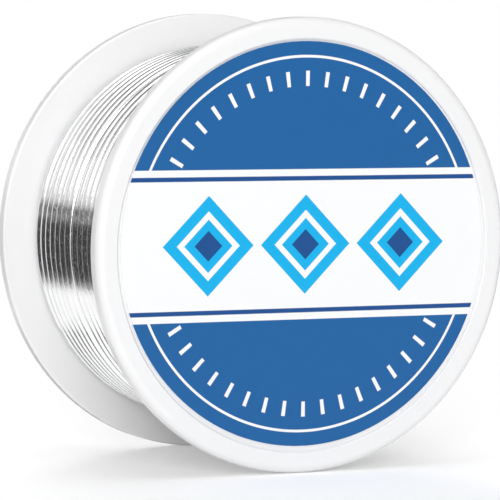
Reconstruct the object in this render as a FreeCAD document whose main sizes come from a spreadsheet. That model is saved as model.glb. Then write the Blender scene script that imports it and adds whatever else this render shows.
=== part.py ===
import FreeCAD, Part
import math
import os
import Sketcher
from FreeCAD import Placement, Rotation, Vector

# Solder wire spool, standing on its rims.
# The origin is the middle of the spool on its axis. The axis is Y, the labelled front faces -Y, and +Z is up.
# Two equal flanges plug into a hub barrel, the wire is wound on the barrel, and a label covers the front.

os.makedirs("parts", exist_ok=True)
doc = FreeCAD.newDocument("solder_wire_spool")

# Driving dimensions, in millimetres and degrees
SIZES = {
    "flange_dia": 45.0,
    "spool_width": 25.0,
    "flange_thick": 1.8,
    "rim_round": 0.8,
    "rim_back_chamfer": 0.2,
    "label_dia": 39.9,
    "label_thick": 0.15,
    "label_margin": 0.35,
    "label_offset": 0.18,
    "recess_depth": 0.4,
    "recess_chamfer": 0.15,
    "bore_dia": 10.0,
    "bore_chamfer": 0.4,
    "bore_wall": 1.2,
    "barrel_dia": 30.4,
    "barrel_wall": 1.6,
    "web_thick": 1.0,
    "web_count": 6,
    "plug_depth": 2.0,
    "plug_wall": 1.1,
    "plug_clearance": 0.05,
    "slot_clearance": 0.1,
    "bead_height": 0.25,
    "winding_dia": 38.6,
    "wire_dia": 1.25,
    "wire_sides": 10,
    "wire_bend": 1.3,
    "turn_gap": 0.42,
    "layer_clearance": 0.05,
    "side_clearance": 0.1,
    "hole_clearance": 0.12,
    "tail_stub": 0.25,
    "tail_angle": 50.0,
    "flux_dia": 0.44,
    "flux_clearance": 0.01,
}
sheet = doc.addObject("Spreadsheet::Sheet", "Sizes")
for row, (alias, value) in enumerate(SIZES.items(), start=1):
    sheet.set(f"A{row}", alias)
    sheet.set(f"B{row}", str(value))
    sheet.setAlias(f"B{row}", alias)
doc.recompute()


def size(alias):
    """The value of one driving dimension, read from the sheet."""
    return float(getattr(sheet, alias))


# Sizes that follow from the driving ones, as expressions for the features
INSIDE_WIDTH = "(Sizes.spool_width - 2 * Sizes.flange_thick)"
RECESS_DIA = "(Sizes.label_dia + 2 * Sizes.label_margin)"
BORE_TUBE_DIA = "(Sizes.bore_dia + 2 * Sizes.bore_wall)"
BARREL_BORE = "(Sizes.barrel_dia - 2 * Sizes.barrel_wall)"
PLUG_DIA = f"({BARREL_BORE} - 2 * Sizes.plug_clearance)"
COLLAR_BORE = f"({BORE_TUBE_DIA} + 2 * Sizes.plug_clearance)"
SLOT_WIDTH = "(Sizes.web_thick + 2 * Sizes.slot_clearance)"
WIRE_LINE_RADIUS = "((Sizes.winding_dia - Sizes.wire_dia) / 2)"
CORE_DIA = "(Sizes.winding_dia - 2 * Sizes.wire_dia - 2 * Sizes.layer_clearance)"
POCKET_FLOOR = f"({WIRE_LINE_RADIUS} - Sizes.wire_bend - Sizes.wire_dia)"
START_FROM_FLANGE = "(Sizes.wire_dia / 2 + Sizes.side_clearance)"
WIRE_HOLE_DIA = "(Sizes.wire_dia + 2 * Sizes.hole_clearance)"


# Helpers for bodies, sketches and features
def new_body(label):
    """An empty body whose label is the name of the piece."""
    body = doc.addObject("PartDesign::Body", label)
    body.Label = label
    return body


def origin_feature(body, role):
    """The body's own origin plane or axis with this role."""
    return next(item for item in body.Origin.OriginFeatures if item.Role == role)


def new_sketch(body, name, role="XY_Plane", height="0"):
    """A sketch on one of the body's origin planes, raised by height."""
    sketch = body.newObject("Sketcher::SketchObject", name)
    sketch.AttachmentSupport = [(origin_feature(body, role), "")]
    sketch.MapMode = "FlatFace"
    sketch.setExpression("AttachmentOffset.Base.z", height)
    return sketch


def add_circle(sketch, diameter, across="0", along="0"):
    """A circle with its diameter and its centre's place given by expressions."""
    circle = sketch.addGeometry(Part.Circle(Vector(1, 1, 0), Vector(0, 0, 1), 5.0), False)
    for kind, expression in (("DistanceX", across), ("DistanceY", along)):
        index = sketch.addConstraint(Sketcher.Constraint(kind, -1, 1, circle, 3, 1.0))
        sketch.setExpression(f"Constraints[{index}]", expression)
    index = sketch.addConstraint(Sketcher.Constraint("Diameter", circle, 5.0))
    sketch.setExpression(f"Constraints[{index}]", diameter)


def add_outline(sketch, corners):
    """A closed outline of straight lines, with each corner placed by two expressions."""
    step = Rotation(Vector(0, 0, 1), 360 / len(corners))
    lines = []
    begin = Vector(1, 0, 0)
    for _ in corners:
        finish = step.multVec(begin)
        lines.append(sketch.addGeometry(Part.LineSegment(begin, finish), False))
        begin = finish
    for i, (across, along) in enumerate(corners):
        sketch.addConstraint(Sketcher.Constraint("Coincident", lines[i - 1], 2, lines[i], 1))
        for kind, expression in (("DistanceX", across), ("DistanceY", along)):
            index = sketch.addConstraint(Sketcher.Constraint(kind, -1, 1, lines[i], 1, 1.0))
            sketch.setExpression(f"Constraints[{index}]", expression)


def add_rectangle(sketch, left, right, bottom, top):
    """A rectangle square to the sketch, with its four sides placed by expressions."""
    add_outline(sketch, [(left, bottom), (right, bottom), (right, top), (left, top)])


def add_diamond(sketch, across, along, half):
    """A square that stands on its corner, with its centre and its half diagonal given by expressions."""
    add_outline(
        sketch,
        [
            (f"{across} + {half}", along),
            (across, f"{along} + {half}"),
            (f"{across} - {half}", along),
            (across, f"{along} - {half}"),
        ],
    )


def add_feature(body, kind, name, sketch, length=None, reverse=False, symmetric=False, through=False):
    """A pad or pocket of one sketch."""
    feature = body.newObject(f"PartDesign::{kind}", name)
    feature.Profile = sketch
    feature.Reversed = reverse
    if symmetric:
        feature.SideType = "Symmetric"
    if through:
        feature.Type = "ThroughAll"
    else:
        feature.setExpression("Length", length)
    doc.recompute()
    return feature


def add_turned(body, kind, name, sketch):
    """A revolution or groove of one sketch, a full turn about the body's Z axis."""
    feature = body.newObject(f"PartDesign::{kind}", name)
    feature.Profile = sketch
    feature.ReferenceAxis = (origin_feature(body, "Z_Axis"), [""])
    feature.Angle = 360.0
    doc.recompute()
    return feature


def repeat_round(body, feature, name, count):
    """The feature repeated at equal angles about the body's Z axis."""
    pattern = body.newObject("PartDesign::PolarPattern", name)
    pattern.Originals = [feature]
    pattern.Axis = (origin_feature(body, "Z_Axis"), [""])
    pattern.Angle = 360.0
    pattern.setExpression("Occurrences", count)
    body.Tip = pattern
    doc.recompute()


def round_edges(shape, radius, height):
    """Names of the full circular edges of this radius at this height."""
    names = []
    for number, edge in enumerate(shape.Edges, start=1):
        curve = edge.Curve
        if isinstance(curve, Part.Circle) and abs(curve.Radius - radius) < 1e-4:
            if abs(curve.Center.z - height) < 1e-4 and len(edge.Vertexes) == 1:
                names.append(f"Edge{number}")
    return names


def dress_edge(body, kind, name, diameter, height, radius):
    """A fillet or chamfer on one round edge, found by its diameter and height."""
    base = body.Tip
    edges = round_edges(base.Shape, diameter / 2, height)
    if not edges:
        raise RuntimeError(f"{name}: no edge of diameter {diameter} at height {height}")
    feature = body.newObject(f"PartDesign::{kind}", name)
    feature.Base = (base, edges)
    feature.setExpression("Radius" if kind == "Fillet" else "Size", radius)
    doc.recompute()


# Flange: a rimmed disc with the label recess outside and the two slotted plug rings inside.
# In its own frame the inner face is at z = 0 and the outer face is up.
def make_flange(label, placement):
    body = new_body(label)

    sketch = new_sketch(body, f"{label}_disc_outline")
    add_circle(sketch, "Sizes.flange_dia")
    add_feature(body, "Pad", f"{label}_disc", sketch, "Sizes.flange_thick")

    sketch = new_sketch(body, f"{label}_recess_outline", height="Sizes.flange_thick")
    add_circle(sketch, RECESS_DIA)
    add_feature(body, "Pocket", f"{label}_recess", sketch, "Sizes.recess_depth")

    # Outer plug ring, which fits inside the barrel, with a snap bead round it
    sketch = new_sketch(body, f"{label}_plug_outline")
    add_circle(sketch, PLUG_DIA)
    add_circle(sketch, f"{PLUG_DIA} - 2 * Sizes.plug_wall")
    add_feature(body, "Pad", f"{label}_plug", sketch, "Sizes.plug_depth", reverse=True)

    sketch = new_sketch(body, f"{label}_bead_outline", role="XZ_Plane")
    add_diamond(sketch, f"{PLUG_DIA} / 2", "-Sizes.plug_depth / 2", "Sizes.bead_height")
    add_turned(body, "Revolution", f"{label}_bead", sketch)

    # Inner plug ring, which fits round the bore tube
    sketch = new_sketch(body, f"{label}_collar_outline")
    add_circle(sketch, COLLAR_BORE)
    add_circle(sketch, f"{COLLAR_BORE} + 2 * Sizes.plug_wall")
    add_feature(body, "Pad", f"{label}_collar", sketch, "Sizes.plug_depth", reverse=True)

    # Slots through both rings let the hub's webs in, and key the flange to the hub
    sketch = new_sketch(body, f"{label}_slot_outline")
    add_rectangle(
        sketch,
        f"{BORE_TUBE_DIA} / 2 - Sizes.plug_clearance",
        f"{BARREL_BORE} / 2 + 2 * Sizes.bead_height",
        f"-{SLOT_WIDTH} / 2",
        f"{SLOT_WIDTH} / 2",
    )
    slot = add_feature(body, "Pocket", f"{label}_slot", sketch, "2 * Sizes.plug_depth")
    repeat_round(body, slot, f"{label}_slots", "Sizes.web_count")

    sketch = new_sketch(body, f"{label}_bore_outline", height="Sizes.flange_thick")
    add_circle(sketch, "Sizes.bore_dia")
    add_feature(body, "Pocket", f"{label}_bore", sketch, through=True)

    # Hole that the wire's end is tucked through, just outside the inner layers
    sketch = new_sketch(body, f"{label}_wire_hole_outline", height="Sizes.flange_thick")
    hole_radius = f"sqrt({WIRE_LINE_RADIUS}^2 + Sizes.wire_bend^2)"
    add_circle(
        sketch,
        WIRE_HOLE_DIA,
        f"{hole_radius} * cos(Sizes.tail_angle * 1 deg)",
        f"{hole_radius} * sin(Sizes.tail_angle * 1 deg)",
    )
    add_feature(body, "Pocket", f"{label}_wire_hole", sketch, through=True)

    thick = size("flange_thick")
    recess_dia = size("label_dia") + 2 * size("label_margin")
    floor = thick - size("recess_depth")
    dress_edge(body, "Chamfer", f"{label}_bore_mouth", size("bore_dia"), floor, "Sizes.bore_chamfer")
    dress_edge(body, "Chamfer", f"{label}_recess_edge", recess_dia, thick, "Sizes.recess_chamfer")
    dress_edge(body, "Fillet", f"{label}_rim_edge", size("flange_dia"), thick, "Sizes.rim_round")
    dress_edge(body, "Chamfer", f"{label}_rim_back", size("flange_dia"), 0.0, "Sizes.rim_back_chamfer")

    body.Placement = placement
    return body


# Hub barrel: barrel, bore tube and webs, with a groove near each end for the flange's snap bead.
# In its own frame the axis is Z and the middle is at the origin.
def make_hub(label, placement):
    body = new_body(label)

    sketch = new_sketch(body, "barrel_outline")
    add_circle(sketch, "Sizes.barrel_dia")
    add_circle(sketch, BARREL_BORE)
    add_feature(body, "Pad", "barrel", sketch, INSIDE_WIDTH, symmetric=True)

    sketch = new_sketch(body, "web_outline")
    web_end = "(Sizes.barrel_dia - Sizes.barrel_wall) / 2"
    add_rectangle(sketch, "0", web_end, "-Sizes.web_thick / 2", "Sizes.web_thick / 2")
    webs = add_feature(body, "Pad", "web", sketch, INSIDE_WIDTH, symmetric=True)
    repeat_round(body, webs, "webs", "Sizes.web_count")

    sketch = new_sketch(body, "bore_tube_outline")
    add_circle(sketch, BORE_TUBE_DIA)
    add_feature(body, "Pad", "bore_tube", sketch, INSIDE_WIDTH, symmetric=True)

    sketch = new_sketch(body, "bore_outline")
    add_circle(sketch, "Sizes.bore_dia")
    add_feature(body, "Pocket", "bore", sketch, f"2 * {INSIDE_WIDTH}", symmetric=True)

    sketch = new_sketch(body, "snap_groove_outline", role="XZ_Plane")
    for side in ("", "-"):
        add_diamond(
            sketch,
            f"{PLUG_DIA} / 2",
            f"{side}({INSIDE_WIDTH} - Sizes.plug_depth) / 2",
            "(Sizes.bead_height + 2 * Sizes.plug_clearance)",
        )
    add_turned(body, "Groove", "snap_grooves", sketch)

    body.Placement = placement
    return body


# Label: a round disc on the floor of the front recess, over the bore, set a little high as the real one is
def make_label(label, placement):
    body = new_body(label)
    sketch = new_sketch(body, "label_outline", height="Sizes.flange_thick - Sizes.recess_depth")
    add_circle(sketch, "Sizes.label_dia", along="Sizes.label_offset")
    add_feature(body, "Pad", "label_disc", sketch, "Sizes.label_thick")
    body.Placement = placement
    return body


# Inner layers of wire: a plain ring on the barrel, with a pocket in which the outer layer's wire comes up
def make_inner_layers(label, placement):
    body = new_body(label)
    height = f"{INSIDE_WIDTH} - 2 * Sizes.side_clearance"

    sketch = new_sketch(body, "inner_layers_outline")
    add_circle(sketch, CORE_DIA)
    add_circle(sketch, "Sizes.barrel_dia + 2 * Sizes.layer_clearance")
    add_feature(body, "Pad", "inner_layers", sketch, height, symmetric=True)

    # The sketch lies square to the wire where it comes up, so the pocket's floor meets the wire's end
    sketch = new_sketch(body, "wire_pocket_outline", role="XZ_Plane", height=POCKET_FLOOR)
    pocket_half = f"({WIRE_HOLE_DIA} / 2)"
    middle = f"({INSIDE_WIDTH} / 2 - {START_FROM_FLANGE})"
    add_rectangle(
        sketch,
        f"-Sizes.wire_bend - {pocket_half}",
        f"{pocket_half}",
        f"{middle} - {pocket_half}",
        f"{middle} + {pocket_half}",
    )
    add_feature(body, "Pocket", "wire_pocket", sketch, "2 * Sizes.wire_bend + Sizes.wire_dia", reverse=True)

    body.Placement = placement
    return body


# Outer layer of wire: one unbroken tube wound on the inner layers.
# Angles are about Y, from +X towards +Z.
START_ANGLE = -90.0


class Winding:
    """The wire's centre line: a steady helix between the bends at its two ends."""

    def __init__(self):
        inside_half = size("spool_width") / 2 - size("flange_thick")
        self.radius = (size("winding_dia") - size("wire_dia")) / 2
        self.bend = size("wire_bend")
        self.first_y = -inside_half + size("wire_dia") / 2 + size("side_clearance")
        self.last_y = inside_half - self.bend
        last_angle = -size("tail_angle") - math.degrees(math.atan2(self.bend, self.radius))
        spacing = size("wire_dia") + size("turn_gap")
        part_turn = ((last_angle - START_ANGLE) / 360) % 1
        whole_turns = math.floor((self.last_y - self.first_y) / spacing - part_turn)
        self.turns = whole_turns + part_turn
        self.pitch = (self.last_y - self.first_y) / self.turns

    def point(self, turn):
        angle = math.radians(START_ANGLE + 360 * turn)
        return Vector(
            self.radius * math.cos(angle), self.first_y + self.pitch * turn, self.radius * math.sin(angle)
        )

    def direction(self, turn):
        angle = math.radians(START_ANGLE + 360 * turn)
        round_way = 2 * math.pi * self.radius
        return Vector(-round_way * math.sin(angle), self.pitch, round_way * math.cos(angle)).normalize()


def tangent_arc(start, corner, end):
    """The arc from start to end that touches the two lines which meet at the corner."""
    middle = (start + end) / 2
    tangent = corner.distanceToPoint(start)
    half_chord = middle.distanceToPoint(start)
    top = corner + (middle - corner) * (tangent / (tangent + half_chord))
    return Part.Arc(start, top, end).toShape()


def biarc(start, start_way, end, end_way):
    """Two arcs with one tangent where they join, which leave start and reach end in the given directions."""
    chord = end - start
    both = start_way + end_way
    spread = 2 * (1 - start_way.dot(end_way))
    along = chord.dot(both)
    tangent = (math.sqrt(along**2 + spread * chord.dot(chord)) - along) / spread
    first_corner = start + start_way * tangent
    second_corner = end - end_way * tangent
    join = (first_corner + second_corner) / 2
    return [tangent_arc(start, first_corner, join), tangent_arc(join, second_corner, end)]


def wire_path(winding):
    """Straight end in the pocket, bend, helix in half turns, bend and straight end through the flange."""
    wire_dia = size("wire_dia")
    first, first_way = winding.point(0), winding.direction(0)
    outward = Vector(0, 0, -1)
    first_corner = first - first_way * winding.bend
    rise_top = first_corner - outward * winding.bend
    rise_foot = rise_top - outward * wire_dia
    edges = [Part.LineSegment(rise_foot, rise_top).toShape(), tangent_arc(rise_top, first_corner, first)]

    halves = math.ceil(2 * winding.turns)
    stops = [winding.turns * i / halves for i in range(halves + 1)]
    for begin, finish in zip(stops, stops[1:]):
        edges += biarc(
            winding.point(begin), winding.direction(begin), winding.point(finish), winding.direction(finish)
        )

    last, last_way = winding.point(winding.turns), winding.direction(winding.turns)
    rearward = Vector(0, 1, 0)
    turn_left = last_way.getAngle(rearward)
    tangent = winding.bend * math.tan(turn_left / 2)
    last_corner = last + last_way * tangent
    tail_start = last_corner + rearward * tangent
    tail_end_y = size("spool_width") / 2 - size("recess_depth") + size("tail_stub")
    tail_end = Vector(tail_start.x, tail_end_y, tail_start.z)
    edges += [tangent_arc(last, last_corner, tail_start), Part.LineSegment(tail_start, tail_end).toShape()]
    return edges, tail_start, tail_end


def least_self_gap(path, winding):
    """The least gap between a turn and the next, measured on points along the centre line."""
    step = 0.5
    points = path.discretize(Distance=step)
    turn_points = int(2 * math.pi * winding.radius / step)
    least = min(
        points[i].distanceToPoint(points[j])
        for i in range(len(points))
        for j in range(i + turn_points // 2, min(i + 3 * turn_points // 2, len(points)))
    )
    return least - size("wire_dia")


def wire_section(centre, way):
    """The wire's round section, drawn as a regular polygon with its corners on the circle."""
    sides = int(size("wire_sides"))
    facing = Rotation(Vector(0, 0, 1), way)
    corners = []
    for i in range(sides + 1):
        spoke = Rotation(Vector(0, 0, 1), 360 * i / sides).multVec(Vector(size("wire_dia") / 2, 0, 0))
        corners.append(centre + facing.multVec(spoke))
    return Part.makePolygon(corners)


def make_outer_layer(label):
    """The wound tube with a small bore in its straight tail, where the flux shows at the cut end."""
    winding = Winding()
    edges, tail_start, tail_end = wire_path(winding)
    path = Part.Wire(edges)
    section = wire_section(edges[0].Vertexes[0].Point, edges[0].tangentAt(0))
    tube = doc.addObject("Part::Feature", "wound_wire")
    tube.Shape = path.makePipeShell([section], True, False)
    tube.Placement = Placement()

    tail_length = tail_end.y - tail_start.y
    tail_way = Placement(tail_end, Rotation(Vector(0, 0, 1), Vector(0, -1, 0)))
    channel = doc.addObject("Part::Cylinder", "flux_channel")
    channel.setExpression("Radius", "Sizes.flux_dia / 2")
    channel.Height = tail_length
    channel.Placement = tail_way
    layer = doc.addObject("Part::Cut", label)
    layer.Base = tube
    layer.Tool = channel

    flux = doc.addObject("Part::Cylinder", "flux_core")
    flux.setExpression("Radius", "Sizes.flux_dia / 2 - Sizes.flux_clearance")
    flux.Height = tail_length
    flux.Placement = tail_way

    doc.recompute()
    expected = Part.Face(section).Area * path.Length
    print(f"outer layer: {winding.turns:.2f} turns, pitch {winding.pitch:.3f}, length {path.Length:.1f}")
    print(f"outer layer: volume {tube.Shape.Volume:.1f}, section times length {expected:.1f}")
    print(f"outer layer: least gap to itself {least_self_gap(path, winding):.3f}")
    return layer, flux


# Assembly: local Z points out of each flange, towards its own side of the spool
INNER_FACE = size("spool_width") / 2 - size("flange_thick")
WEB_STEP = 360 / size("web_count")
facing_front = Rotation(Vector(1, 0, 0), 90)
facing_rear = Rotation(Vector(1, 0, 0), -90)
turned_two_webs = Rotation(Vector(0, 0, 1), -2 * WEB_STEP)

pieces = [
    make_flange("front_flange", Placement(Vector(0, -INNER_FACE, 0), facing_front * turned_two_webs)),
    make_flange("rear_flange", Placement(Vector(0, INNER_FACE, 0), facing_rear)),
    make_hub("hub_barrel", Placement(Vector(0, 0, 0), facing_rear)),
    make_label("front_label", Placement(Vector(0, -INNER_FACE, 0), facing_front)),
    make_inner_layers("solder_inner_layers", Placement(Vector(0, 0, 0), facing_front)),
]
pieces += make_outer_layer("solder_outer_layer")
doc.recompute()

# Checks, then one file for each piece
for item in doc.Objects:
    if "Invalid" in item.State or "Error" in item.State:
        raise RuntimeError(f"{item.Label} failed: {item.State}")
for piece in pieces:
    shape = piece.Shape
    if shape.isNull() or not shape.isValid() or not shape.Solids:
        raise RuntimeError(f"{piece.Label} has no valid solid")
for piece in pieces:
    box = piece.Shape.optimalBoundingBox()
    print(
        f"{piece.Label}: {len(piece.Shape.Solids)} solid, volume {piece.Shape.Volume:.1f},"
        f" x {box.XMin:.2f} to {box.XMax:.2f}, y {box.YMin:.2f} to {box.YMax:.2f},"
        f" z {box.ZMin:.2f} to {box.ZMax:.2f}"
    )
    piece.Shape.exportStep(f"parts/{piece.Label}.step")
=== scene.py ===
# %% [markdown]
# A solder wire spool, seen from its label side.
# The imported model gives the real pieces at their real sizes. Here they get their finishes, and the wire is
# wound again, tightly and unevenly, as it lies on a real spool.

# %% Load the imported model
import math

import bmesh
import bpy
import numpy as np
from mathutils import Matrix, Vector


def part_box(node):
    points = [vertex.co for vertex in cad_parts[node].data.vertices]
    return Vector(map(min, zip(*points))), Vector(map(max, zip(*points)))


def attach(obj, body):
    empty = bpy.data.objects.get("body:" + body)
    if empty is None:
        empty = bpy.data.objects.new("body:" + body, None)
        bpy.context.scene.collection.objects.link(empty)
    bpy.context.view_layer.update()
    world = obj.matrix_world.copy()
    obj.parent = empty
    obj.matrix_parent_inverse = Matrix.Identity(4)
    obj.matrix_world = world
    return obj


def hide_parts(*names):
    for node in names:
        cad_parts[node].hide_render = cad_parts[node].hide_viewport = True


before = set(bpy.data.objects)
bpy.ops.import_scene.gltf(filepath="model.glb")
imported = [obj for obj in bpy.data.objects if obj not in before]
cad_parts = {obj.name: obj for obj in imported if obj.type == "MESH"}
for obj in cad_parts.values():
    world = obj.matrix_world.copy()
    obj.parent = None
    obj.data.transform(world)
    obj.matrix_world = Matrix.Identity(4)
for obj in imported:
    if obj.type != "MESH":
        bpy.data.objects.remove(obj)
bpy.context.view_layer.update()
MM = 0.001

# %% [markdown]
# The main places come from the model itself, so that the looks follow it if a size changes.
# The spool's axis is Y, its label faces -Y, and it stands on its two rims.

# %% Places read from the model, in millimetres
def node_box(node):
    """The node's lowest and highest corners, in millimetres."""
    return [np.array(corner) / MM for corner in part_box(node)]


flange_low, flange_high = node_box("front_flange")
label_low, label_high = node_box("front_label")
inner_low, inner_high = node_box("solder_inner_layers")
_, outer_high = node_box("solder_outer_layer")
_, hub_high = node_box("hub_barrel")
flux_low, flux_high = node_box("flux_core")

FLANGE_RADIUS = flange_high[0]
INSIDE_HALF = hub_high[1]
WINDING_RADIUS = outer_high[0]
FLOOR_Z = flange_low[2]
LABEL_CENTRE = (label_low + label_high) / 2
LABEL_RADIUS = (label_high[0] - label_low[0]) / 2
print(f"flange radius {FLANGE_RADIUS:.2f}, winding radius {WINDING_RADIUS:.2f}, label radius {LABEL_RADIUS:.2f}")

# %% [markdown]
# The camera stands a little to the left of the label and above it, far away with a long lens, so the two
# flanges look almost the same size.

# %% Camera
FRAME_PIXELS = 500
FOCAL_PIXELS = 3600
SENSOR_WIDTH = 36.0
AZIMUTH = math.radians(-26.57)
ELEVATION = math.radians(4.155)
ROLL = math.radians(0.793)
DISTANCE = 364.9
SHIFT_RIGHT = 0.036
SHIFT_UP = -1.261

back = Vector(
    (
        math.sin(AZIMUTH) * math.cos(ELEVATION),
        -math.cos(AZIMUTH) * math.cos(ELEVATION),
        math.sin(ELEVATION),
    )
)
level_right = Vector((0, 0, 1)).cross(back).normalized()
level_up = back.cross(level_right)
right = level_right * math.cos(ROLL) + level_up * math.sin(ROLL)
up = level_up * math.cos(ROLL) - level_right * math.sin(ROLL)

camera = bpy.data.objects.new("camera", bpy.data.cameras.new("camera"))
camera.data.lens = FOCAL_PIXELS / FRAME_PIXELS * SENSOR_WIDTH
camera.data.sensor_width = SENSOR_WIDTH
camera.data.clip_start = 0.01
camera.data.clip_end = 20.0
place = (back * DISTANCE + level_right * SHIFT_RIGHT + level_up * SHIFT_UP) * MM
camera.matrix_world = Matrix.Translation(place) @ Matrix((right, up, back)).transposed().to_4x4()
bpy.context.scene.collection.objects.link(camera)
bpy.context.scene.camera = camera
print(f"lens {camera.data.lens:.0f} mm, camera at {[round(value, 3) for value in place]}")

# %% [markdown]
# Every new surface is a grid of points worked out with numpy. This helper turns such a grid into a mesh.
# A row or column that closes on itself is joined by wrapping the index, and poles are welded afterwards.

# %% Grid of points to mesh
def grid_piece(name, points, close_rows=False, close_columns=True, wire_map=None):
    """A mesh from points[row, column]: each face joins a point to the next row's and the next column's."""
    rows, columns = points.shape[:2]
    index = np.arange(rows * columns).reshape(rows, columns)
    if close_rows:
        index = np.vstack([index, index[:1]])
    if close_columns:
        index = np.hstack([index, index[:, :1]])
    corners = np.stack([index[:-1, :-1], index[1:, :-1], index[1:, 1:], index[:-1, 1:]], axis=-1).reshape(-1, 4)

    mesh = bpy.data.meshes.new(name)
    mesh.vertices.add(rows * columns)
    mesh.vertices.foreach_set("co", (points * MM).astype(np.float32).ravel())
    mesh.loops.add(corners.size)
    mesh.loops.foreach_set("vertex_index", corners.astype(np.int32).ravel())
    mesh.polygons.add(len(corners))
    mesh.polygons.foreach_set("loop_start", np.arange(0, corners.size, 4, dtype=np.int32))
    mesh.update(calc_edges=True)
    if wire_map is not None:
        along, around = wire_map
        u = np.stack([along[:-1], along[1:], along[1:], along[:-1]], axis=-1)[:, None, :]
        v = np.stack([around[:-1], around[:-1], around[1:], around[1:]], axis=-1)[None, :, :]
        pairs = np.stack(np.broadcast_arrays(u, v), axis=-1)
        layer = mesh.uv_layers.new(name="wire_map")
        layer.data.foreach_set("uv", pairs.astype(np.float32).ravel())
    weld(mesh)
    mesh.shade_smooth()
    piece = bpy.data.objects.new(name, mesh)
    bpy.context.scene.collection.objects.link(piece)
    print(f"{name}: {len(mesh.polygons)} faces")
    return piece


WELD_GAP = 1e-7


def weld(mesh):
    """Merges the points that lie on each other at a pole, and drops the faces that this leaves empty."""
    work = bmesh.new()
    work.from_mesh(mesh)
    bmesh.ops.remove_doubles(work, verts=work.verts, dist=WELD_GAP)
    bmesh.ops.recalc_face_normals(work, faces=work.faces)
    work.to_mesh(mesh)
    work.free()


# %% [markdown]
# The outer layer of wire is one tube along a helix. A real winding isn't even: the turns press against
# each other, except where the feed slipped and left a gap, and the whole layer drifts to and fro a little.
# The helix gets these as smooth functions of the turn number, so that one formula gives every turn.

# %% Centre line of the outer layer
WIRE_DIA = 1.19
HALF_WIRE = WIRE_DIA / 2
LINE_RADIUS = WINDING_RADIUS - HALF_WIRE
TURNS = 15.1
START_ANGLE = math.radians(-90)
FIRST_Y = -INSIDE_HALF + HALF_WIRE + 0.08
END_BEND = 1.3
LAST_Y = INSIDE_HALF - END_BEND
SLIPS = [(8.25, 0.62), (2.25, 0.32)]
SLIP_TURN = 0.13
DRIFT = 1.0
DRIFT_SKEW = 1.78
POINTS_PER_TURN = 180
dice = np.random.default_rng(7)


def smooth_step(value, low, high):
    """0 below low, 1 above high, and 3 s squared minus 2 s cubed between them."""
    share = np.clip((value - low) / (high - low), 0, 1)
    return share * share * (3 - 2 * share)


def wander(turn, amplitude, periods):
    """A sum of sines of the turn number, one for each period, with seeded phases."""
    total = sum(np.sin(2 * math.pi * (turn / period + dice.random())) for period in periods)
    return amplitude * total / len(periods)


turn = np.linspace(0, TURNS, int(TURNS * POINTS_PER_TURN) + 1)
angle = START_ANGLE + 2 * math.pi * turn
slip_total = sum(size for _, size in SLIPS)
pitch = (LAST_Y - FIRST_Y - slip_total) / TURNS
slipped = sum(size * smooth_step(turn, at - SLIP_TURN, at + SLIP_TURN) for at, size in SLIPS)
past_hole = (turn - TURNS) % 1
drift = DRIFT * (1 - np.cos(2 * math.pi * past_hole**DRIFT_SKEW)) / 2
ends_in = smooth_step(turn, 0, 0.3)
line_y = FIRST_Y + pitch * turn + slipped + drift * ends_in + wander(turn, 0.02, (0.31, 0.77, 1.9))
line_radius = LINE_RADIUS + wander(turn, 0.015, (0.23, 0.61, 2.3))
climb = END_BEND * (1 - smooth_step(turn, -0.05, 0.12))
line_radius = line_radius - climb
helix = np.stack([line_radius * np.cos(angle), line_y, line_radius * np.sin(angle)], axis=1)
print(f"outer layer: {TURNS} turns, pitch {pitch:.3f} mm")

# %% [markdown]
# The wire ends by turning through the small hole in the rear flange. That bend is a quarter of a circle
# between the last direction of the helix and the axis, followed by a straight stub.

# %% Bend and stub at the wire's end
BEND_POINTS = 10
rearward = np.array([0.0, 1.0, 0.0])
last = helix[-1]
last_way = helix[-1] - helix[-2]
last_way /= np.linalg.norm(last_way)
flat_way = last_way - rearward * (last_way @ rearward)
flat_way /= np.linalg.norm(flat_way)
swing = np.linspace(0, math.pi / 2, BEND_POINTS + 1)[1:, None]
bend = last + END_BEND * (np.sin(swing) * flat_way + (1 - np.cos(swing)) * rearward)
stub_end = bend[-1].copy()
stub_end[1] = flux_high[1]
tail_centre = (flux_low + flux_high) / 2
tail_shift = np.array([tail_centre[0] - stub_end[0], 0, tail_centre[2] - stub_end[2]])
print("stub misses the hole's middle by", np.round(tail_shift, 3))
tail_blend = smooth_step(turn, TURNS - 0.15, TURNS)[:, None]
helix = helix + tail_blend * tail_shift
turn_apart = np.linalg.norm(helix[POINTS_PER_TURN:] - helix[:-POINTS_PER_TURN], axis=1)
print(f"least gap between neighbouring turns {turn_apart.min() - WIRE_DIA:.3f} mm")
bend = bend + tail_shift
stub = stub_end + tail_shift
line = np.vstack([helix, bend, stub])


# %% [markdown]
# The tube is a circle carried along the line. At each point the circle lies square to the line, in a frame
# made of the spool's axis and the direction away from it, so it never twists.

# %% Tube round a line
SIDES = 16


def tube_points(centres, radii, outward):
    """Rings of points: centre + radius * (cos v * outward + sin v * side), square to the line."""
    ways = np.gradient(centres, axis=0)
    ways /= np.linalg.norm(ways, axis=1, keepdims=True)
    first = outward - ways * np.sum(outward * ways, axis=1, keepdims=True)
    first /= np.linalg.norm(first, axis=1, keepdims=True)
    side = np.cross(ways, first)
    v = 2 * math.pi * np.arange(SIDES) / SIDES
    ring = np.cos(v)[None, :, None] * first[:, None, :] + np.sin(v)[None, :, None] * side[:, None, :]
    return centres[:, None, :] + radii[:, None, None] * ring


# The cut end: a small rim, the flat cut, and the channel that the flux fills
CUT_EDGE = 0.04
FLUX_RADIUS = (flux_high[0] - flux_low[0]) / 2
cut = line[-1]
channel_floor = cut - rearward * (flux_high[1] - flux_low[1])
extra_centres = [cut - rearward * CUT_EDGE, cut, cut, channel_floor, channel_floor]
extra_radii = [HALF_WIRE, HALF_WIRE - CUT_EDGE, FLUX_RADIUS, FLUX_RADIUS, 0.0]
body_line = np.vstack([helix[:1], helix, bend])
body_radii = np.full(len(body_line), HALF_WIRE)
body_radii[0] = 0.0

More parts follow.
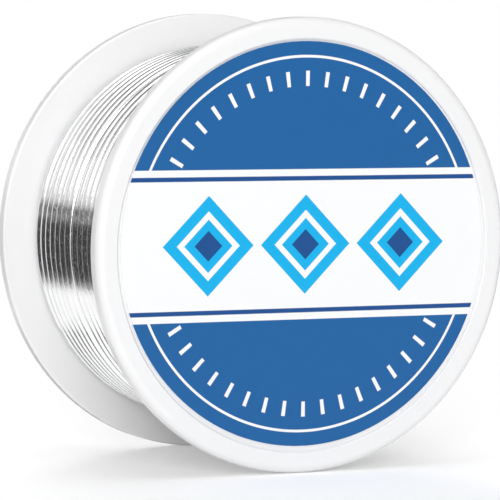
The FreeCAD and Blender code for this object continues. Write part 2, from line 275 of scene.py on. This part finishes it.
radial = np.vstack([helix[:1], helix, bend]) * np.array([1.0, 0.0, 1.0])
outward = radial / np.linalg.norm(radial, axis=1, keepdims=True)
body_points = tube_points(body_line + 1e-6 * np.arange(len(body_line))[:, None] * last_way, body_radii, outward)
end_ring = body_points[-1] - body_line[-1]
end_ring = end_ring / HALF_WIRE
end_points = np.stack([centre + size * end_ring for centre, size in zip(extra_centres, extra_radii)])
wire_points = np.concatenate([body_points, end_points])

length_steps = np.linalg.norm(np.diff(np.vstack([body_line, extra_centres]), axis=0), axis=1)
along = np.concatenate([[0], np.cumsum(length_steps)])
around = np.arange(SIDES + 1) / SIDES
outer_wire = grid_piece("outer_wire", wire_points, wire_map=(along, around))
print(f"wire length in the outer layer {along[-1]:.0f} mm")

# %% [markdown]
# Under it lie the lower layers. Only the top of them shows, through the gap, so they are one ring whose
# outer face has the shape of turns: a row of half circles that climb the other way round.

# %% Lower layers
LOWER_PITCH = 1.34
LOWER_TOP = WINDING_RADIUS - WIRE_DIA
LOWER_SAMPLES = 8
LOWER_ROUND = 240
lower_low = inner_low[1]
lower_high = inner_high[1]
lower_bore = hub_high[0] + 0.02


def lower_profile(y, turn_angle):
    """The radius of the lower turns: a circle's height over its middle, with the middles on a helix."""
    phase = (y - lower_low) / LOWER_PITCH + turn_angle / (2 * math.pi)
    off_middle = (phase - np.floor(phase) - 0.5) * LOWER_PITCH
    height = np.sqrt(np.maximum(HALF_WIRE**2 - off_middle**2, (0.25 * WIRE_DIA) ** 2))
    return LOWER_TOP - HALF_WIRE + height


count_y = int((lower_high - lower_low) / LOWER_PITCH * LOWER_SAMPLES)
ys = np.linspace(lower_low, lower_high, count_y)
lower_angle = 2 * math.pi * np.arange(LOWER_ROUND) / LOWER_ROUND
grid_y, grid_angle = np.meshgrid(ys, lower_angle, indexing="ij")
grid_radius = lower_profile(grid_y, grid_angle)
bore_y = np.array([[lower_high], [lower_low]]) * np.ones(LOWER_ROUND)
bore_radius = np.full((2, LOWER_ROUND), lower_bore)
grid_y = np.vstack([grid_y, bore_y])
grid_radius = np.vstack([grid_radius, bore_radius])
grid_angle = np.vstack([grid_angle, np.tile(lower_angle, (2, 1))])
lower_points = np.stack(
    [grid_radius * np.cos(grid_angle), grid_y, grid_radius * np.sin(grid_angle)], axis=-1
)
lower_wire = grid_piece("lower_wire", lower_points, close_rows=True)


# %% [markdown]
# Shader maths is easier to read as sums than as boxes and cables. The class Value wraps one output socket,
# so that `1 - mask` or `x * 2` adds the Math node that does it. The class Finish is one material.

# %% Shader sums as Python
class Value:
    """One number in a material. Each operator adds a Math node and gives its result."""

    def __init__(self, finish, socket):
        self.finish = finish
        self.socket = socket

    def sum(self, operation, *terms, clamp=False):
        return self.finish.node("ShaderNodeMath", {"operation": operation, "use_clamp": clamp}, *terms)

    def __add__(self, other):
        return self.sum("ADD", self, other)

    def __sub__(self, other):
        return self.sum("SUBTRACT", self, other)

    def __rsub__(self, other):
        return self.sum("SUBTRACT", other, self)

    def __mul__(self, other):
        return self.sum("MULTIPLY", self, other)

    def __truediv__(self, other):
        return self.sum("DIVIDE", self, other)

    def __abs__(self):
        return self.sum("ABSOLUTE", self)

    __radd__ = __add__
    __rmul__ = __mul__

    def length_with(self, other):
        """The length of the slanted side of a right triangle with these two sides."""
        return self.sum("SQRT", self * self + other * other)

    def larger(self, other):
        return self.sum("MAXIMUM", self, other)

    def smaller(self, other):
        return self.sum("MINIMUM", self, other)

    def clamped(self):
        return self.sum("ADD", self, 0.0, clamp=True)


class Nodes:
    """A node tree, with one method that adds any node and gives back one of its outputs as a Value."""

    def __init__(self, tree):
        self.tree = tree

    def node(self, kind, settings, *inputs, out=0, **named):
        """Adds a node: its settings first, then its sockets by order or by name."""
        made = self.tree.nodes.new(kind)
        for key, value in settings.items():
            setattr(made, key, value)
        open_sockets = [socket for socket in made.inputs if socket.enabled]
        pairs = list(zip(open_sockets, inputs))
        pairs += [(self.pick(open_sockets, key.replace("_", " ")), value) for key, value in named.items()]
        for socket, value in pairs:
            if isinstance(value, Value):
                self.tree.links.new(value.socket, socket)
            else:
                socket.default_value = value
        outputs = [socket for socket in made.outputs if socket.enabled]
        return Value(self, outputs[out] if isinstance(out, int) else self.pick(outputs, out))

    def pick(self, sockets, name):
        return next(socket for socket in sockets if socket.name == name)

    def place(self):
        """The place on the object, as a vector in metres."""
        return self.node("ShaderNodeTexCoord", {}, out="Object")

    def axes(self):
        """The place on the object as three numbers in millimetres."""
        place = self.place()
        parts = [self.node("ShaderNodeSeparateXYZ", {}, place, out=axis) for axis in "XYZ"]
        return [part * (1 / MM) for part in parts]

    def mix(self, factor, first, second):
        """The first colour where factor is 0, the second where it is 1."""
        return self.node(
            "ShaderNodeMix", {"data_type": "RGBA", "clamp_factor": True}, Factor=factor, A=first, B=second
        )

    def noise(self, vector, scale, detail=2.0, roughness=0.5):
        """A noise between 0 and 1, with its scale in lumps per metre."""
        return self.node(
            "ShaderNodeTexNoise", {}, Vector=vector, Scale=scale, Detail=detail, Roughness=roughness
        )

    def ray(self, kind):
        """1 for the rays of one kind, such as Is Camera Ray, and 0 for the others."""
        return self.node("ShaderNodeLightPath", {}, out=kind)


class Finish(Nodes):
    """One material, with its Principled shader."""

    def __init__(self, name, **constants):
        self.material = bpy.data.materials.new(name)
        self.material.use_nodes = True
        super().__init__(self.material.node_tree)
        self.shader = self.tree.nodes["Principled BSDF"]
        for socket, value in constants.items():
            self.shader.inputs[socket.replace("_", " ")].default_value = value

    def feed(self, socket, value):
        self.tree.links.new(value.socket, self.shader.inputs[socket])

    def bump(self, height, distance):
        """Raises the surface by height, a number from 0 to 1, times distance in millimetres."""
        self.feed("Normal", self.node("ShaderNodeBump", {}, Height=height, Distance=distance * MM, Strength=1.0))

    def surface(self, shader):
        """Makes another shader the material's surface."""
        self.tree.links.new(shader.socket, self.tree.nodes["Material Output"].inputs["Surface"])

    def cover(self, *pieces):
        """Gives this finish to pieces and model nodes, in place of what they had."""
        for piece in pieces:
            piece.data.materials.clear()
            piece.data.materials.append(self.material)


# %% [markdown]
# The flanges and the hub are moulded in white polystyrene. It is nearly even, with a soft gloss, a very
# fine texture from the mould, and slow waves in the gloss where the plastic cooled.

# %% White plastic
WHITE_PLASTIC = (0.86, 0.86, 0.865, 1.0)
plastic = Finish("white_polystyrene", Roughness=0.32, IOR=1.55)
spot = plastic.place()
slow = plastic.noise(spot, 160.0, detail=2.0)
fine = plastic.noise(spot, 4200.0, detail=3.0)
plastic.feed("Base Color", plastic.mix(slow, (0.85, 0.85, 0.855, 1.0), WHITE_PLASTIC))
plastic.feed("Roughness", 0.24 + slow * 0.10 + fine * 0.06)
plastic.bump(fine * 0.5 + slow * 0.5, 0.004)
plastic.cover(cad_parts["front_flange"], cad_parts["rear_flange"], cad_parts["hub_barrel"])

# %% [markdown]
# The label is printed in two blues on white. Each printed shape is a mask: a distance from the shape's
# edge, in millimetres, turned into 1 inside and 0 outside over a thin soft line, like the edge of ink.
# The design is a generic one of stripes, ticks and lozenges.

# %% Label masks
INK_EDGE = 0.035
LABEL_WHITE = (0.90, 0.905, 0.91, 1.0)
DEEP_BLUE = (0.006, 0.109, 0.325, 1.0)
CYAN = (0.001, 0.42, 0.79, 1.0)
NAVY = (0.004, 0.066, 0.25, 1.0)
label = Finish("printed_label", Specular_IOR_Level=0.3)
label_x, _, label_z = label.axes()
x = label_x - float(LABEL_CENTRE[0])
z = label_z - float(LABEL_CENTRE[2])
from_middle = x.length_with(z)


def inside(distance):
    """1 where the distance is below zero, 0 above, over the width of the ink's edge."""
    return distance.sum("MULTIPLY_ADD", distance, -1 / INK_EDGE, 0.5, clamp=True)


def either(*masks):
    """1 where any of the masks is 1."""
    joined = masks[0]
    for mask in masks[1:]:
        joined = joined.larger(mask)
    return joined


# %% Label print
BAND_HALF = 7.4
RING_RADIUS = 18.47
RING_HALF = 0.13
TICK_RADIUS = 16.3
TICK_HALF_LENGTH = 0.75
TICK_HALF_WIDTH = 0.2
TICKS = 48
EDGE_STRIPE_AT = 6.5
EDGE_STRIPE_HALF = 0.22
blue_caps = inside(BAND_HALF - abs(z))
ring = inside(abs(from_middle - RING_RADIUS) - RING_HALF)

# Ticks all round, on the blue only: the angle in tick steps, less the nearest whole step
turned = x.sum("ARCTAN2", x, z) * (TICKS / (2 * math.pi))
off_tick = abs(turned - turned.sum("ROUND", turned)) * (2 * math.pi * TICK_RADIUS / TICKS)
ticks = inside(off_tick - TICK_HALF_WIDTH) * inside(abs(from_middle - TICK_RADIUS) - TICK_HALF_LENGTH)

# Lozenges in a row along the white band: the distances along and across add up to the same all along an edge
LOZENGE_STEP = 10.6
LOZENGE_HALF = 4.9
LOZENGE_LINE = 3.0
LOZENGE_LINE_HALF = 0.4
LOZENGE_CENTRE = 1.5
nearest_lozenge = abs(x).smaller(abs(abs(x) - LOZENGE_STEP)) + abs(z)
lozenges = inside(nearest_lozenge - LOZENGE_HALF)
lozenge_lines = inside(abs(nearest_lozenge - LOZENGE_LINE) - LOZENGE_LINE_HALF)
lozenge_centres = inside(nearest_lozenge - LOZENGE_CENTRE)
edge_stripes = inside(abs(abs(z) - EDGE_STRIPE_AT) - EDGE_STRIPE_HALF)

white_print = either(ring, ticks) * blue_caps
colour = label.mix(blue_caps, LABEL_WHITE, DEEP_BLUE)
colour = label.mix(lozenges, colour, CYAN)
colour = label.mix(either(white_print, lozenge_lines), colour, LABEL_WHITE)
colour = label.mix(either(lozenge_centres, edge_stripes), colour, NAVY)
label.feed("Base Color", colour)
paper = label.noise(label.place(), 900.0, detail=4.0)
label.feed("Roughness", 0.32 + paper * 0.12)
label.bump(paper, 0.006)
label.cover(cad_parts["front_label"])
print(f"label: {len(label.tree.nodes)} nodes")

# %% [markdown]
# The solder is a bright tin alloy. Drawing it through a die leaves fine lines along the wire, and handling
# leaves tiny dull dots, where the gloss is lost.

# %% Bright solder
solder = Finish("bright_solder", Metallic=1.0)
wire_map = solder.node("ShaderNodeUVMap", {"uv_map": "wire_map"})
lines_at = solder.node("ShaderNodeVectorMath", {"operation": "MULTIPLY"}, wire_map, (0.15, 14.0, 1.0))
drawn = solder.noise(lines_at, 1.0, detail=4.0, roughness=0.6)
specks = solder.noise(solder.place(), 13000.0, detail=2.0)
DOT_LEVEL = 0.59
DOT_SHARPNESS = 9
dull_dots = ((specks - DOT_LEVEL) * DOT_SHARPNESS).clamped()
solder.feed("Roughness", 0.02 + drawn * 0.09 + dull_dots * 0.40)
solder.feed("Base Color", solder.mix(drawn * 0.6 + specks * 0.4, (0.60, 0.60, 0.61, 1.0), (0.92, 0.92, 0.925, 1.0)))
solder.bump(drawn * 0.4 + specks * 0.6, 0.009)
solder.cover(outer_wire)

under = Finish("dull_solder", Metallic=1.0)
grain = under.noise(under.place(), 6000.0, detail=3.0)
under.feed("Roughness", 0.18 + grain * 0.16)
under.feed("Base Color", under.mix(grain, (0.62, 0.62, 0.63, 1.0), (0.76, 0.76, 0.77, 1.0)))
under.bump(grain, 0.01)
under.cover(lower_wire)

# %% [markdown]
# The flux in the wire's core is rosin: amber, glossy and a little cloudy.

# %% Amber flux
flux = Finish("amber_flux", Roughness=0.2, IOR=1.53)
cloud = flux.noise(flux.place(), 5000.0, detail=3.0)
flux.feed("Base Color", flux.mix(cloud, (0.50, 0.24, 0.04, 1.0), (0.72, 0.42, 0.10, 1.0)))
flux.feed("Roughness", 0.15 + cloud * 0.2)
flux.cover(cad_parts["flux_core"])

# %% [markdown]
# Each new piece rides on the spool's one body and stands for the model node that it replaces.

# %% Rides and replacements
for piece, node, slot in ((outer_wire, "solder_outer_layer", "solder"), (lower_wire, "solder_inner_layers", "solder")):
    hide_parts(node)
    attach(piece, "root")

# %% [markdown]
# The studio: a white sweep under and behind the spool, soft lamps in front, to the left, above and behind, a
# low dark card on the left and a dark screen behind. Only mirror-like surfaces see the card and the screen.
# They give the bright wire the dark band and dark lines that make it look like metal.

# %% Sweep
SWEEP_HALF_WIDTH = 1500.0
SWEEP_FRONT = -900.0
SWEEP_BACK = 900.0
SWEEP_BEND = 300.0
SWEEP_HEIGHT = 900.0
bend_angle = np.linspace(0, math.pi / 2, 17)
sweep_y = np.concatenate([[SWEEP_FRONT, 0.0], SWEEP_BACK + SWEEP_BEND * np.sin(bend_angle), [SWEEP_BACK + SWEEP_BEND]])
sweep_z = np.concatenate([[0.0, 0.0], SWEEP_BEND * (1 - np.cos(bend_angle)), [SWEEP_HEIGHT]]) + FLOOR_Z
sweep_points = np.stack(
    [
        np.stack([np.full_like(sweep_y, side * SWEEP_HALF_WIDTH), sweep_y, sweep_z], axis=-1)
        for side in (-1, 1)
    ],
    axis=1,
)
sweep = grid_piece("sweep", sweep_points, close_columns=False)

# %% [markdown]
# The sweep has to look pure white where nothing shades it, as in a catalogue picture, without more light on
# the spool. So the camera sees a little glow added to it near the spool, and plain white further off. The light
# that it sends back to the spool's plastic is that of ordinary white paper. In the bright wire it glows whiter
# than that, as a painted highlight. A painted shadow lies behind the spool: a dark strip that only the wire
# shows, which draws the dark lines between the lower turns.

# %% White paper of the sweep
GLOW = 0.24
NEAR = 0.035
FAR = 0.10
MIRRORED_NEAR = 0.0226
MIRRORED_FAR = 0.029
MIRRORED_WHITE = 1.28
# Where the painted shadow on the floor begins, in millimetres: behind this y and to the right of this x
SHADOW_STRIP_FRONT = 11.5
SHADOW_STRIP_LEFT = -29.0
paper_white = Finish("white_sweep", Base_Color=(0.90, 0.90, 0.90, 1.0), Roughness=0.9)
camera_ray = paper_white.ray("Is Camera Ray")
mirrored = paper_white.ray("Is Glossy Ray")
SMOOTH = {"interpolation_type": "SMOOTHSTEP"}
off = paper_white.node("ShaderNodeVectorMath", {"operation": "LENGTH"}, paper_white.place(), out="Value")
far_off = paper_white.node("ShaderNodeMapRange", SMOOTH, off, From_Min=NEAR, From_Max=FAR)
mirrored_off = paper_white.node("ShaderNodeMapRange", SMOOTH, off, From_Min=MIRRORED_NEAR, From_Max=MIRRORED_FAR)
plain = Value(paper_white, paper_white.shader.outputs["BSDF"])
glowing = paper_white.node("ShaderNodeEmission", {}, Color=(1.0, 1.0, 1.0, 1.0), Strength=GLOW)
glowing = paper_white.node("ShaderNodeAddShader", {}, plain, glowing)
white = paper_white.node("ShaderNodeEmission", {}, Color=(1.0, 1.0, 1.0, 1.0), Strength=1.0)
looks = paper_white.node("ShaderNodeMixShader", {}, far_off, glowing, white)
floor_x, floor_y, _ = paper_white.axes()
# Painted shadow: a dark strip of floor behind the spool, seen only by mirror-like rays, standing in for the spool's
# shadow
painted_shadow_strip = (floor_y - SHADOW_STRIP_FRONT).clamped() * (floor_x - SHADOW_STRIP_LEFT).clamped() * mirrored
# Painted highlight: mirror-like rays see the floor glow whiter than its light makes it
bright = paper_white.node("ShaderNodeEmission", {}, Color=(1.0, 1.0, 1.0, 1.0), Strength=MIRRORED_WHITE)
seen_by_others = paper_white.node("ShaderNodeMixShader", {}, mirrored_off * mirrored, plain, bright)
# The painted shadow's colour, a near-black floor for mirror-like rays only
dark = paper_white.node("ShaderNodeBsdfDiffuse", {}, Color=(0.05, 0.05, 0.05, 1.0))
seen_by_others = paper_white.node("ShaderNodeMixShader", {}, painted_shadow_strip, seen_by_others, dark)
paper_white.surface(paper_white.node("ShaderNodeMixShader", {}, camera_ray, seen_by_others, looks))
paper_white.cover(sweep)

# %% [markdown]
# The dark card stands on the floor to the left of the spool, a little curved. The band's upper edge on the
# wires is the card's top edge, and its lower edge is where the card meets the floor. Two thin lines along the
# card glow, so that the wires show painted reflections: thin light lines across the dark band.

# %% Dark cards
CARD_X = -55.5
CARD_CURVE = 0.004
CARD_Y = np.linspace(-48.0, 76.0, 40)
CARD_TOP = 9.0
SCREEN_DISTANCE = 400.0
SCREEN_ANGLE = np.radians(np.linspace(140, 215, 40))
SCREEN_RISE = (18.0, 58.0)
card_finish = Finish("dark_card", Base_Color=(0.09, 0.09, 0.09, 1.0), Roughness=1.0, Emission_Strength=1.0)
_, _, card_z = card_finish.axes()
# Painted reflections: two thin glowing lines on the card, with their heights and half widths in millimetres, which the
# wires show as light lines in the dark band
GLINT_LINES = [(CARD_TOP - 4.2, 0.6), (FLOOR_Z + 2.2, 0.4)]
LINE_SHARPNESS = 20
painted_glint_lines = either(
    *[((half - abs(card_z - float(level))) * LINE_SHARPNESS).clamped() for level, half in GLINT_LINES]
)
card_finish.feed("Emission Color", card_finish.mix(painted_glint_lines, (0, 0, 0, 1), (0.8, 0.8, 0.8, 1)))


def dark_card(name, plan_x, plan_y, bottom, top):
    """A card that stands on a curve in plan, which only mirror-like surfaces see."""
    levels = (np.broadcast_to(bottom, plan_x.shape), np.broadcast_to(top, plan_x.shape))
    card = grid_piece(
        name, np.stack([np.stack([plan_x, plan_y, level], axis=-1) for level in levels]), close_columns=False
    )
    card_finish.cover(card)
    card.visible_camera = False
    card.visible_diffuse = False
    card.visible_shadow = False
    card.visible_transmission = False


dark_card("low_card", CARD_X + CARD_CURVE * CARD_Y**2, CARD_Y, FLOOR_Z + 0.05, CARD_TOP)
dark_card(
    "back_screen",
    SCREEN_DISTANCE * np.sin(SCREEN_ANGLE),
    -SCREEN_DISTANCE * np.cos(SCREEN_ANGLE),
    *[SCREEN_DISTANCE * math.tan(math.radians(rise)) for rise in SCREEN_RISE],
)


# %% Lamps
def soft_lamp(name, azimuth, elevation, distance, width, height, radiance, lights_all=True):
    """An area lamp that faces the spool, placed by angles from the front, with its radiance."""
    data = bpy.data.lights.new(name, "AREA")
    data.shape = "RECTANGLE"
    data.size = width * MM
    data.size_y = height * MM
    data.energy = radiance * math.pi * width * height * MM**2
    turn_to, rise = math.radians(azimuth), math.radians(elevation)
    away = Vector((math.sin(turn_to) * math.cos(rise), -math.cos(turn_to) * math.cos(rise), math.sin(rise)))
    lamp = bpy.data.objects.new(name, data)
    lamp.matrix_world = Matrix.Translation(away * distance * MM) @ away.to_track_quat("Z", "Y").to_matrix().to_4x4()
    bpy.context.scene.collection.objects.link(lamp)
    lamp.visible_diffuse = lights_all
    share = radiance * width * height / distance**2 / math.pi
    print(f"{name}: {data.energy:.2f} W, adds {share:.2f} to a surface that faces it")


soft_lamp("front_lamp", -27, 15, 900, 500, 400, 7.6)
soft_lamp("left_lamp", -72, 42, 500, 180, 520, 1.4, lights_all=False)
soft_lamp("top_lamp", -20, 80, 700, 500, 500, 1.4)
soft_lamp("back_lamp", 165, 30, 900, 500, 400, 4.0)

# %% World
WORLD_LIGHT = 0.37
WORLD_MIRRORED = 0.84
world = bpy.data.worlds.new("studio")
bpy.context.scene.world = world
world.use_nodes = True
around_all = Nodes(world.node_tree)
lit = around_all.ray("Is Camera Ray") * (1 - WORLD_LIGHT) + around_all.ray("Is Glossy Ray") * (
    WORLD_MIRRORED - WORLD_LIGHT
) + WORLD_LIGHT
background = world.node_tree.nodes["Background"]
background.inputs["Color"].default_value = (1.0, 1.0, 1.0, 1.0)
world.node_tree.links.new(lit.socket, background.inputs["Strength"])
bpy.context.scene.view_settings.view_transform = "Standard"
